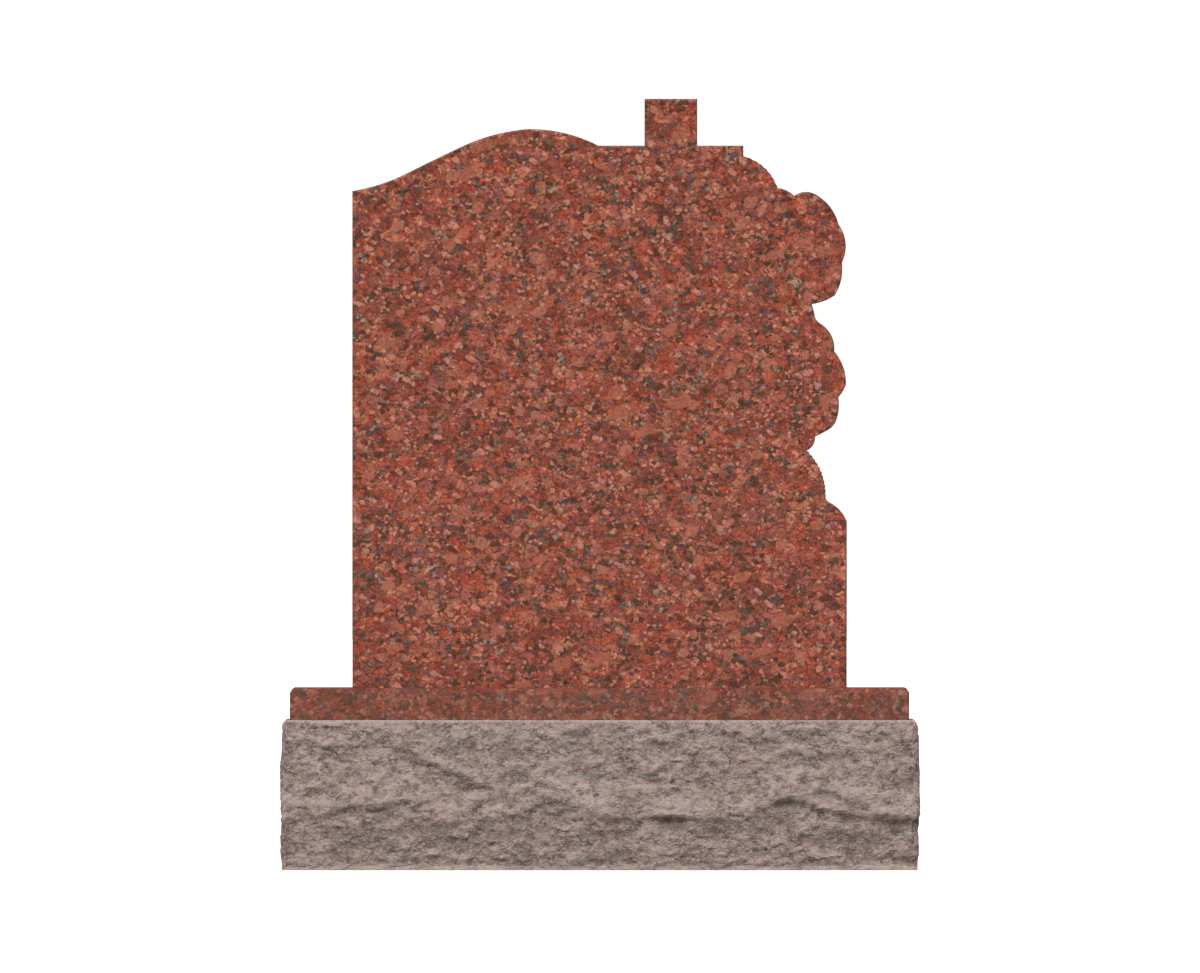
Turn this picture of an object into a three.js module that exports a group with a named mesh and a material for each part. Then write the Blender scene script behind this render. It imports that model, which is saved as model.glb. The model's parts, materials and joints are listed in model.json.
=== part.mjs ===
// A granite headstone: a shaped, polished upright tablet on a thin honed plinth slab on a
// rock-faced base block. Millimetres, +Z up, front facing -Y, origin at the middle of the underside.

import * as THREE from 'three';

// Base block: the size at its pitched lower edge, and how far its sawn top is drawn in
const baseWidth = 914.4;
const baseDepth = 304.8;
const baseHeight = 215.4;
const baseTopInset = 4.5;
const baseTopRounding = 11;
const baseCornerRadius = 9;
const baseCornerTurns = [0, 30, 60, 90];

// Rock face: two swellings of the split faces, each with its height up the block, its half height
// and how far it stands out on the ends and on the long faces
const swellings = [
  { up: 122, halfHeight: 86, onEnds: 2.4, onLongFaces: 3.1 },
  { up: 33, halfHeight: 25, onEnds: 2, onLongFaces: 0.5 },
];

// Ledges of the long faces: places along each crest, across and up, and how deep the stone steps
// back below it. The main one runs from end to end, the upper one slants down from the left
const ledges = [
  [
    [-457, 76, 2], [-393, 84, 5], [-354, 99, 4], [-321, 95, 5], [-273, 105, 4], [-247, 77, 4],
    [-216, 70, 6], [-177, 79, 4], [-130, 80, 5], [-101, 98, 3], [-43, 105, 4], [9, 79, 5],
    [62, 80, 5], [100, 82, 9], [134, 81, 6], [206, 78, 3], [244, 99, 4], [272, 110, 8],
    [321, 94, 6], [378, 82, 4], [426, 82, 9], [457, 80, 8],
  ],
  [
    [-446, 178, 2], [-422, 197, 5], [-397, 184, 3], [-306, 190, 3], [-258, 168, 6],
    [-210, 144, 6], [-158, 124, 3], [-120, 118, 0],
  ],
  [[172, 198, 0], [215, 197, 3], [248, 180, 4], [277, 174, 3], [301, 181, 2], [330, 190, 0]],
];
// How far above its crest a ledge still swells, how soon it falls back below, and how far on the
// hollow under it fills out again
const ledgeRise = 26;
const ledgeFall = 13;
const ledgeHollow = 34;

// Places of the long faces where stone has broken out below a ledge: the middle, across and up, how
// far it reaches from there, across and up, and how deep it is
const breaks = [
  { across: -366, up: 84, halfWidth: 52, halfHeight: 14, depth: 2.5 },
  { across: -228, up: 62, halfWidth: 44, halfHeight: 16, depth: 2.5 },
  { across: -258, up: 152, halfWidth: 22, halfHeight: 22, depth: 2.5 },
  { across: 100, up: 66, halfWidth: 38, halfHeight: 16, depth: 5 },
  { across: 264, up: 92, halfWidth: 26, halfHeight: 15, depth: 3.5 },
  { across: 424, up: 62, halfWidth: 50, halfHeight: 22, depth: 5 },
];

// Rock relief: octaves of lumps, each with its count around the block, its height and its depth
const lumps = [
  { around: 15, height: 78, depth: 3 },
  { around: 33, height: 37, depth: 2.2 },
  { around: 67, height: 19, depth: 1.6 },
];
// The ends are flatter than the long faces, and all relief fades towards the worked edges
const endFaceRelief = 0.45;
const reliefMargin = 16;
// Fineness of the rock: the step around the block, the rows up it, and how much closer together the
// rows stand towards the upper and lower edges
const rockStep = 15;
const rockRows = 16;
const rowCrowding = 0.1;
// Large odd multipliers and shifts that turn a place into a number that looks random
const scatterMixing = {
  ofColumn: 374761393, ofRow: 668265263, ofLayer: 974634777, ofSum: 1274126177, firstShift: 13, lastShift: 16,
};

// Plinth slab, with a worked arris along its upper edges
const plinthWidth = 888.4;
const plinthDepth = 279.4;
const plinthHeight = 45.5;
const plinthArrisAcross = 4;
const plinthArrisUp = 5.5;
const plinthCornerCut = 2;

// Tablet: its foot, its thickness and the fine arris around both faces
const tabletWidth = 710;
const tabletThickness = 152.4;
const tabletArris = 1.5;
const leftShoulder = 713.6;
const rightShoulder = 239;

// Cross that stands out of the tablet's upper edge
const crossCentre = 102.5;
const crossUprightWidth = 75.5;
const crossArmReach = 104;
const crossArmTop = 778.8;
const crossTop = 846;
const crossArmDrop = 15;

// Fineness of the curves: how far a straight step may lie off its arc
const arcTolerance = 0.06;
// Leaf edges: how much of a tooth is its slow rise, and how many steps of the leaf's arc it spans
const toothRise = 0.65;
const stepsPerTooth = 20;

const halfTablet = tabletWidth / 2;
const crossLeft = crossCentre - crossUprightWidth / 2;
const crossRight = crossCentre + crossUprightWidth / 2;
const armRightEnd = crossCentre + crossArmReach;

// The tablet's edge, clockwise from the lower left corner as seen from the front. Each stretch gives
// its end, across and up from the middle of the foot, and how far its arc bulges outwards
// (minus is hollow, none is straight). A leaf also gives the number of its teeth and their depth.
// Both sides run on below the foot by the arris, which is then cut off flat
const tabletEdge = [
  { to: [-halfTablet, leftShoulder] },
  // serpentine top: hollow, rise and crest
  { to: [-277, 738.9], bulge: -3.1 },
  { to: [-199, 776.9], bulge: 0.3 },
  { to: [-101.5, 802.7], bulge: 4.7 },
  { to: [crossCentre - crossArmReach, crossArmTop], bulge: 6.2 },
  // cross: left arm, upright and right arm
  { to: [crossLeft, crossArmTop] },
  { to: [crossLeft, crossTop] },
  { to: [crossRight, crossTop] },
  { to: [crossRight, crossArmTop] },
  { to: [armRightEnd, crossArmTop] },
  { to: [armRightEnd, crossArmTop - crossArmDrop] },
  // upper leaf
  { to: [211, 762.2] },
  { to: [255.5, 718], bulge: 7.6, teeth: 7, depth: 0.9 },
  // first rose: a small petal, the crown, the side and the underside
  { to: [279.3, 706.8], bulge: 2.4 },
  { to: [310.2, 708.9], bulge: 4.6 },
  { to: [343.4, 665.6], bulge: 5.7 },
  { to: [348, 611], bulge: 7.7 },
  { to: [337.9, 564.1], bulge: 4.2 },
  { to: [304.6, 552], bulge: 2.2 },
  // second rose: the neck, the crown, two petals and the underside
  { to: [309.5, 532], bulge: 0.4 },
  { to: [317.5, 523], bulge: -0.9 },
  { to: [337, 483.6], bulge: 6.4 },
  { to: [353.9, 435.9], bulge: 4.7 },
  { to: [343, 417.4], bulge: 1 },
  { to: [341.2, 388.5], bulge: 1.6 },
  { to: [326, 369.4], bulge: 2.8 },
  { to: [309.6, 361], bulge: 0.2 },
  // bud
  { to: [297.4, 341], bulge: 3.7 },
  // lower leaf
  { to: [324.4, 273.6], bulge: 7.9, teeth: 11, depth: 1.3 },
  // lower right shoulder
  { to: [331.3, 266], bulge: -1.2 },
  { to: [halfTablet, rightShoulder], bulge: 3.4 },
  { to: [halfTablet, -tabletArris] },
];

// Points along the arc from one end to the other, without its start
function arcPoints(start, end, bulge, steps) {
  const chord = end.clone().sub(start);
  const outward = new THREE.Vector2(-chord.y, chord.x).normalize();
  const halfAngle = 2 * Math.atan2(2 * bulge, chord.length());
  return Array.from({ length: steps }, (_, index) => {
    const along = (index + 1) / steps;
    if (!bulge) return start.clone().lerp(end, along);
    const radius = chord.length() / (2 * Math.sin(halfAngle));
    const turn = halfAngle * (2 * along - 1);
    return start.clone().lerp(end, 0.5)
      .addScaledVector(chord.clone().normalize(), radius * Math.sin(turn))
      .addScaledVector(outward, radius * (Math.cos(turn) - Math.cos(halfAngle)));
  });
}

// Number of straight steps that keep an arc within the tolerance
function arcSteps(start, end, bulge) {
  if (!bulge) return 1;
  const halfChord = start.distanceTo(end) / 2;
  const radius = (halfChord ** 2 + bulge ** 2) / (2 * Math.abs(bulge));
  const length = 4 * radius * Math.atan2(Math.abs(bulge), halfChord);
  return Math.ceil(length / Math.sqrt(8 * radius * arcTolerance));
}

// A toothed leaf edge: the arc's even steps, each a slow rise to a tip and a quick fall to a root
function toothedPoints(start, end, bulge, teeth, depth) {
  const middle = start.clone().lerp(end, 0.5);
  const outward = new THREE.Vector2(start.y - end.y, end.x - start.x).normalize();
  const hub = middle.addScaledVector(outward, -start.distanceTo(end));
  const fine = arcPoints(start, end, bulge, teeth * stepsPerTooth);
  const push = (point, distance) => point.clone()
    .addScaledVector(point.clone().sub(hub).normalize(), distance);
  const points = [];
  for (let tooth = 0; tooth < teeth; tooth++) {
    const tip = fine[Math.round((tooth + toothRise) * stepsPerTooth) - 1];
    const root = fine[(tooth + 1) * stepsPerTooth - 1];
    points.push(push(tip, depth / 2));
    points.push(tooth === teeth - 1 ? root : push(root, -depth / 2));
  }
  return points;
}

function tabletOutline() {
  let here = new THREE.Vector2(-halfTablet, -tabletArris);
  const outline = [here];
  for (const { to, bulge = 0, teeth, depth } of tabletEdge) {
    const end = new THREE.Vector2(...to);
    outline.push(...(teeth
      ? toothedPoints(here, end, bulge, teeth, depth)
      : arcPoints(here, end, bulge, arcSteps(here, end, bulge))));
    here = end;
  }
  return outline;
}

// The upright slab, its outline carried from back to front with an arris at both faces, and its foot
// flat without one
function tabletGeometry() {
  const geometry = new THREE.ExtrudeGeometry(new THREE.Shape(tabletOutline()), {
    depth: tabletThickness - 2 * tabletArris,
    bevelThickness: tabletArris,
    bevelSize: tabletArris,
    bevelOffset: -tabletArris,
    bevelSegments: 1,
  });
  geometry.translate(0, 0, -(tabletThickness / 2 - tabletArris));
  geometry.rotateX(Math.PI / 2);
  const { position } = geometry.attributes;
  for (let index = 0; index < position.count; index++) {
    position.setZ(index, Math.max(position.getZ(index), 0));
  }
  geometry.computeVertexNormals();
  return geometry;
}

// A closed body from rings of points, lowest ring first, each counter-clockwise seen from above
function stackedRings(rings) {
  const count = rings[0].length;
  const triangles = [];
  for (let row = 0; row + 1 < rings.length; row++) {
    for (let column = 0; column < count; column++) {
      const next = (column + 1) % count;
      const lower = row * count;
      const upper = lower + count;
      triangles.push(lower + column, lower + next, upper + next);
      triangles.push(lower + column, upper + next, upper + column);
    }
  }
  const last = (rings.length - 1) * count;
  const flat = (ring) => ring.map((point) => new THREE.Vector2(point.x, point.y));
  for (const [a, b, c] of THREE.ShapeUtils.triangulateShape(flat(rings[0]), [])) {
    triangles.push(c, b, a);
  }
  for (const [a, b, c] of THREE.ShapeUtils.triangulateShape(flat(rings.at(-1)), [])) {
    triangles.push(last + a, last + b, last + c);
  }
  const geometry = new THREE.BufferGeometry().setFromPoints(rings.flat());
  geometry.setIndex(triangles);
  geometry.computeVertexNormals();
  return geometry;
}

// The thin slab, square below and drawn in along the arris above, with its corners just eased
function plinthGeometry() {
  const ring = (inset, up) => {
    const x = plinthWidth / 2 - inset;
    const y = plinthDepth / 2 - inset;
    const cut = plinthCornerCut;
    const corners = [
      [x, -y + cut], [x, y - cut], [x - cut, y], [-x + cut, y],
      [-x, y - cut], [-x, -y + cut], [-x + cut, -y], [x - cut, -y],
    ];
    return corners.map(([across, deep]) => new THREE.Vector3(across, deep, up));
  };
  return stackedRings([
    ring(0, 0),
    ring(0, plinthHeight - plinthArrisUp),
    ring(plinthArrisAcross, plinthHeight),
  ]);
}

// A repeatable random number from 0 to 1 for a whole-number place
function scatter(column, row, layer) {
  const { ofColumn, ofRow, ofLayer, ofSum, firstShift, lastShift } = scatterMixing;
  let mix = Math.imul(column, ofColumn) + Math.imul(row, ofRow) + Math.imul(layer, ofLayer);
  mix = Math.imul(mix ^ (mix >>> firstShift), ofSum);
  mix ^= mix >>> lastShift;
  return (mix >>> 0) / 2 ** 32;
}

// Smooth lumps from -1 to 1 that close on themselves around the block
function lumpiness(around, up, { around: count, height }, layer) {
  const across = around * count;
  const rise = up / height;
  const column = Math.floor(across);
  const row = Math.floor(rise);
  const ease = (t) => t * t * t * (t * (6 * t - 15) + 10);
  const corner = (right, above) => scatter((column + right) % count, row + above, layer);
  const lower = THREE.MathUtils.lerp(corner(0, 0), corner(1, 0), ease(across - column));
  const upper = THREE.MathUtils.lerp(corner(0, 1), corner(1, 1), ease(across - column));
  return 2 * THREE.MathUtils.lerp(lower, upper, ease(rise - row)) - 1;
}

// A ledge's crest at a place across the face: how far up it is and how deep it steps, 0 past its ends
function crestAt(crest, across) {
  const next = crest.findIndex(([place]) => place >= across);
  if (next < 1) return { crestUp: 0, step: 0 };
  const [fromAcross, fromUp, fromStep] = crest[next - 1];
  const [toAcross, toUp, toStep] = crest[next];
  const along = (across - fromAcross) / (toAcross - fromAcross);
  return {
    crestUp: THREE.MathUtils.lerp(fromUp, toUp, along),
    step: THREE.MathUtils.lerp(fromStep, toStep, along),
  };
}

// A ledge stands out most at its crest: it swells slowly from above and falls back quickly below,
// into a hollow that fills out again
function ledgeOut(across, up) {
  let out = 0;
  for (const crest of ledges) {
    const { crestUp, step } = crestAt(crest, across);
    const above = up - crestUp;
    const swell = Math.exp(-Math.max(above, 0) / ledgeRise);
    const fall = THREE.MathUtils.smoothstep(-above, 0, ledgeFall);
    const hollow = Math.exp(-Math.max(-above - ledgeFall, 0) / ledgeHollow);
    out += step * (above > 0 ? swell / 2 : (1 - fall) / 2 - (fall * hollow) / 2);
  }
  return out;
}

// How far back the broken-out places lie: each a bowl, deepest in its middle
function brokenOut(across, up) {
  let back = 0;
  for (const { across: middle, up: height, halfWidth, halfHeight, depth } of breaks) {
    const away = Math.hypot((across - middle) / halfWidth, (up - height) / halfHeight);
    back += depth * (1 - Math.min(away, 1) ** 2) ** 2;
  }
  return back;
}

// How far the split face stands out of the pitched line, for a place around and up the block, the
// place across its long faces, and longFace, which is 1 on the front and back and 0 on the ends
function rockFace(around, across, up, longFace) {
  let swell = 0;
  for (const { up: middle, halfHeight, onEnds, onLongFaces } of swellings) {
    const away = Math.min(Math.abs(up - middle) / halfHeight, 1);
    swell += THREE.MathUtils.lerp(onEnds, onLongFaces, longFace) * (1 - away * away) ** 2;
  }
  let relief = 0;
  lumps.forEach((octave, layer) => {
    relief += octave.depth * lumpiness(around, up, octave, layer);
  });
  relief *= THREE.MathUtils.lerp(endFaceRelief, 1, longFace);
  relief += longFace * (ledgeOut(across, up) - brokenOut(across, up));
  const margin = THREE.MathUtils.smoothstep(Math.min(up, baseHeight - up), 0, reliefMargin);
  const drawnIn = THREE.MathUtils.clamp(1 - (baseHeight - up) / baseTopRounding, 0, 1);
  return swell + relief * margin - baseTopInset * drawnIn ** 2;
}

// The block's pitched line: even steps along the sides and round the corners, each with the
// way it faces
function pitchedLine() {
  const x = baseWidth / 2 - baseCornerRadius;
  const y = baseDepth / 2 - baseCornerRadius;
  const corners = [[x, -y, -90], [x, y, 0], [-x, y, 90], [-x, -y, 180]];
  const line = [];
  corners.forEach(([across, deep, startAngle], index) => {
    for (const turn of baseCornerTurns) {
      const angle = THREE.MathUtils.degToRad(startAngle + turn);
      const facing = new THREE.Vector2(Math.cos(angle), Math.sin(angle));
      const point = new THREE.Vector2(across, deep).addScaledVector(facing, baseCornerRadius);
      line.push({ point, facing });
    }
    const from = line.at(-1);
    const [nextAcross, nextDeep] = corners[(index + 1) % corners.length];
    const to = new THREE.Vector2(nextAcross, nextDeep).addScaledVector(from.facing, baseCornerRadius);
    const steps = Math.round(from.point.distanceTo(to) / rockStep);
    for (let step = 1; step < steps; step++) {
      line.push({ point: from.point.clone().lerp(to, step / steps), facing: from.facing });
    }
  });
  return line;
}

function baseGeometry() {
  const line = pitchedLine();
  const rings = [];
  for (let row = 0; row <= rockRows; row++) {
    const even = row / rockRows;
    const up = baseHeight * (even - rowCrowding * Math.sin(2 * Math.PI * even) / Math.PI);
    rings.push(line.map(({ point, facing }, index) => {
      const across = point.x * -Math.sign(facing.y);
      const out = rockFace(index / line.length, across, up, Math.abs(facing.y));
      return new THREE.Vector3(point.x + out * facing.x, point.y + out * facing.y, up);
    }));
  }
  const geometry = stackedRings(rings);
  geometry.computeBoundingBox();
  const middle = geometry.boundingBox.getCenter(new THREE.Vector3());
  return geometry.translate(-middle.x, -middle.y, 0);
}

function piece(name, geometry, up, stone) {
  const mesh = new THREE.Mesh(geometry, new THREE.MeshStandardMaterial({ metalness: 0, ...stone }));
  mesh.name = name;
  mesh.position.z = up;
  return mesh;
}

const headstone = new THREE.Group();
headstone.add(
  piece('rock_faced_base', baseGeometry(), 0, { color: 0x8f7d76, roughness: 0.9 }),
  piece('plinth_slab', plinthGeometry(), baseHeight, { color: 0x7e5043, roughness: 0.35 }),
  piece('tablet', tabletGeometry(), baseHeight + plinthHeight, { color: 0x895243, roughness: 0.12 }),
);

export default headstone;
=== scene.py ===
"""A granite headstone: a polished tablet on a thin plinth slab on a rock-faced base block.

Metres, +Z up, the front facing -Y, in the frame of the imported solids. The tablet and the plinth
slab keep the solids' shape with their edges eased. The base block is made afresh, with the
solid's swellings and ledges and the finer fractures of split granite.
"""

from __future__ import annotations

import json
import logging
import math
from dataclasses import dataclass, field
from enum import Enum, IntEnum
from typing import Sequence

import bmesh
import bpy
import numpy as np
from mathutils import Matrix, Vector

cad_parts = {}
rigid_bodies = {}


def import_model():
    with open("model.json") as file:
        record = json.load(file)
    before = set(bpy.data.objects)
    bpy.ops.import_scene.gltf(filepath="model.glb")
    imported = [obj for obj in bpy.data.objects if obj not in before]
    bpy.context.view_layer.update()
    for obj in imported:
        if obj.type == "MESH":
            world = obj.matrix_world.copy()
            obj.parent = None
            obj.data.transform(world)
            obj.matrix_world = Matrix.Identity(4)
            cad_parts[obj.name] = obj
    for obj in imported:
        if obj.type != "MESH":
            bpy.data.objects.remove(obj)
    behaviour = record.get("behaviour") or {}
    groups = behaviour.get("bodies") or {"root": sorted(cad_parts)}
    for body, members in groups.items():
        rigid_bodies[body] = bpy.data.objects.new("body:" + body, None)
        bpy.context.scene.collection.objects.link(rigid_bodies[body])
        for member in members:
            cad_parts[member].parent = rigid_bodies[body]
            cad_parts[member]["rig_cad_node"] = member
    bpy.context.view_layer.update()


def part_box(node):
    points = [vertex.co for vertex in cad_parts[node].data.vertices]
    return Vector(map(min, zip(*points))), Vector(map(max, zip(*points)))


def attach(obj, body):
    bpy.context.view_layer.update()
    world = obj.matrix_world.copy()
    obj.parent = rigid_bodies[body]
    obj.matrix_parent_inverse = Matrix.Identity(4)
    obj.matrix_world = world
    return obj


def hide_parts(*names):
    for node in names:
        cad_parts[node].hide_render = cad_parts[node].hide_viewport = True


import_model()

LOG = logging.getLogger("headstone")
MM = 0.001
Socket = bpy.types.NodeSocket
Colour = tuple[float, float, float, float]
Term = Socket | float
Mark = tuple[Colour, float]


def colour(red: float, green: float, blue: float) -> Colour:
    """Turn a colour as the eye sees it into the linear colour that shaders take.

    Args:
        red: Red from 0 to 255.
        green: Green from 0 to 255.
        blue: Blue from 0 to 255.

    Returns:
        The linear colour with full alpha.
    """
    seen = np.array([red, green, blue]) / 255.0
    linear = np.where(seen > 0.04045, ((seen + 0.055) / 1.055) ** 2.4, seen / 12.92)
    return (*linear.tolist(), 1.0)


@dataclass
class Wiring:
    """Short ways to add nodes to one node tree and link them."""

    tree: bpy.types.NodeTree

    def node(
        self, kind: str, inputs: dict[str | int, object] | None = None, **settings: object
    ) -> bpy.types.Node:
        """Add a node.

        Args:
            kind: The node's type, without its "ShaderNode" prefix.
            inputs: Values or links for its sockets, by name or number.
            **settings: The node's own properties.

        Returns:
            The new node.
        """
        prefix = "" if kind.startswith("Node") else "ShaderNode"
        made = self.tree.nodes.new(prefix + kind)
        for name, value in settings.items():
            setattr(made, name, value)
        for name, value in (inputs or {}).items():
            if isinstance(value, Socket):
                self.tree.links.new(value, made.inputs[name])
            else:
                made.inputs[name].default_value = value
        return made

    def math(self, operation: str, *terms: Term, clamp: bool = False) -> Socket:
        """Add a sum of one or two terms and return its result."""
        made = self.node("Math", dict(enumerate(terms)), operation=operation, use_clamp=clamp)
        return made.outputs[0]

    def move(self, operation: str, first: Socket, second: object) -> Socket:
        """Add a sum of two vectors.

        Args:
            operation: The sum.
            first: The first vector.
            second: The second vector, or the number that scales the first.

        Returns:
            The result.
        """
        made = self.node("VectorMath", {0: first}, operation=operation)
        name = "Scale" if operation == "SCALE" else 1
        if isinstance(second, Socket):
            self.tree.links.new(second, made.inputs[name])
        else:
            made.inputs[name].default_value = second
        return made.outputs[0]

    def blend(self, share: Term, first: object, second: object, how: str = "MIX") -> Socket:
        """Mix two colours, the second coming in by its share, and return the result."""
        made = self.node("Mix", {0: share, 6: first, 7: second}, data_type="RGBA", blend_type=how)
        return made.outputs[2]

    def spread(
        self, value: Socket, low: float, high: float, start: float = 0.0, end: float = 1.0
    ) -> Socket:
        """Carry a value from low..high over to start..end, easing in and out, and return it."""
        inputs = {0: value, 1: low, 2: high, 3: start, 4: end}
        return self.node("MapRange", inputs, interpolation_type="SMOOTHSTEP").outputs[0]

    def lay(self, under: Socket, mask: Socket, share: Term, shade: Colour) -> Socket:
        """Lay a colour over the stone where a mask shows it, by its share, and return it."""
        return self.blend(self.math("MULTIPLY", mask, share), under, shade)

    def tone(self, under: Socket, strength: Socket) -> Socket:
        """Make a colour lighter or darker by a number, and return the result."""
        grey = self.node("CombineColor", {0: strength, 1: strength, 2: strength}).outputs[0]
        return self.blend(1.0, under, grey, "MULTIPLY")

    def parts(self, shade: Socket) -> Sequence[Socket]:
        """Take a colour's red, green and blue apart, three random numbers where it is random."""
        return self.node("SeparateColor", {0: shade}).outputs

    def palette(self, value: Socket, stops: Sequence[tuple[float, Colour]]) -> Socket:
        """Look a value up in a row of colours, each holding from its place on.

        Args:
            value: The value, from 0 to 1.
            stops: The place from which each colour holds, and the colour.

        Returns:
            The colour.
        """
        made = self.node("ValToRGB", {0: value})
        ramp = made.color_ramp
        ramp.interpolation = "CONSTANT"
        while len(ramp.elements) < len(stops):
            ramp.elements.new(1.0)
        for element, (place, shade) in zip(ramp.elements, stops):
            element.position = place
            element.color = shade
        return made.outputs[0]

    def place(self, lie: tuple[float, float, float] = (1.0, 1.0, 1.0)) -> Socket:
        """Give the place in the stone in millimetres, stretched along each axis by the lie."""
        at = self.node("TexCoord").outputs["Object"]
        return self.move("MULTIPLY", at, tuple(share / MM for share in lie))

    def bend(self, place: Socket, cloud: bpy.types.Node, reach: float) -> Socket:
        """Shift each place by the colour of a cloud, by half the reach at most each way."""
        swing = self.move("SUBTRACT", cloud.outputs["Color"], (0.5, 0.5, 0.5))
        return self.move("ADD", place, self.move("SCALE", swing, reach))

    def hand_on(self, to: bpy.types.Node, **values: Socket) -> None:
        """Link values to the sockets of a node that have their names."""
        for label, value in values.items():
            self.tree.links.new(value, to.inputs[label])

    def clouds(self, place: Socket, size: float, detail: float = 2.0) -> bpy.types.Node:
        """Add soft noise whose lumps have a size in millimetres."""
        return self.node("TexNoise", {"Vector": place, "Scale": 1.0 / size, "Detail": detail})

    def grains(self, place: Socket, size: float, feature: str = "F1") -> bpy.types.Node:
        """Add crystal cells whose spacing has a size in millimetres."""
        return self.node("TexVoronoi", {"Vector": place, "Scale": 1.0 / size}, feature=feature)


WHITE: Colour = (1.0, 1.0, 1.0, 1.0)
# Where most values of a cloud lie.
MOST_OF_A_CLOUD = (0.3, 0.7)


def new_group(
    name: str, inputs: dict[str, float], outputs: dict[str, str], colours: Sequence[str] = ()
) -> tuple[Wiring, bpy.types.Node, bpy.types.Node]:
    """Start a shader node group.

    Args:
        name: The group's name.
        inputs: Its number inputs and their usual values.
        outputs: Its outputs and their socket types.
        colours: Its colour inputs.

    Returns:
        The group's wiring, its input node and its output node.
    """
    tree = bpy.data.node_groups.new(name, "ShaderNodeTree")
    for label, usual in inputs.items():
        socket = tree.interface.new_socket(label, in_out="INPUT", socket_type="NodeSocketFloat")
        socket.default_value = usual
    for label in colours:
        tree.interface.new_socket(label, in_out="INPUT", socket_type="NodeSocketColor")
    for label, kind in outputs.items():
        tree.interface.new_socket(label, in_out="OUTPUT", socket_type=kind)
    wiring = Wiring(tree)
    return wiring, wiring.node("NodeGroupInput"), wiring.node("NodeGroupOutput")


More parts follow.
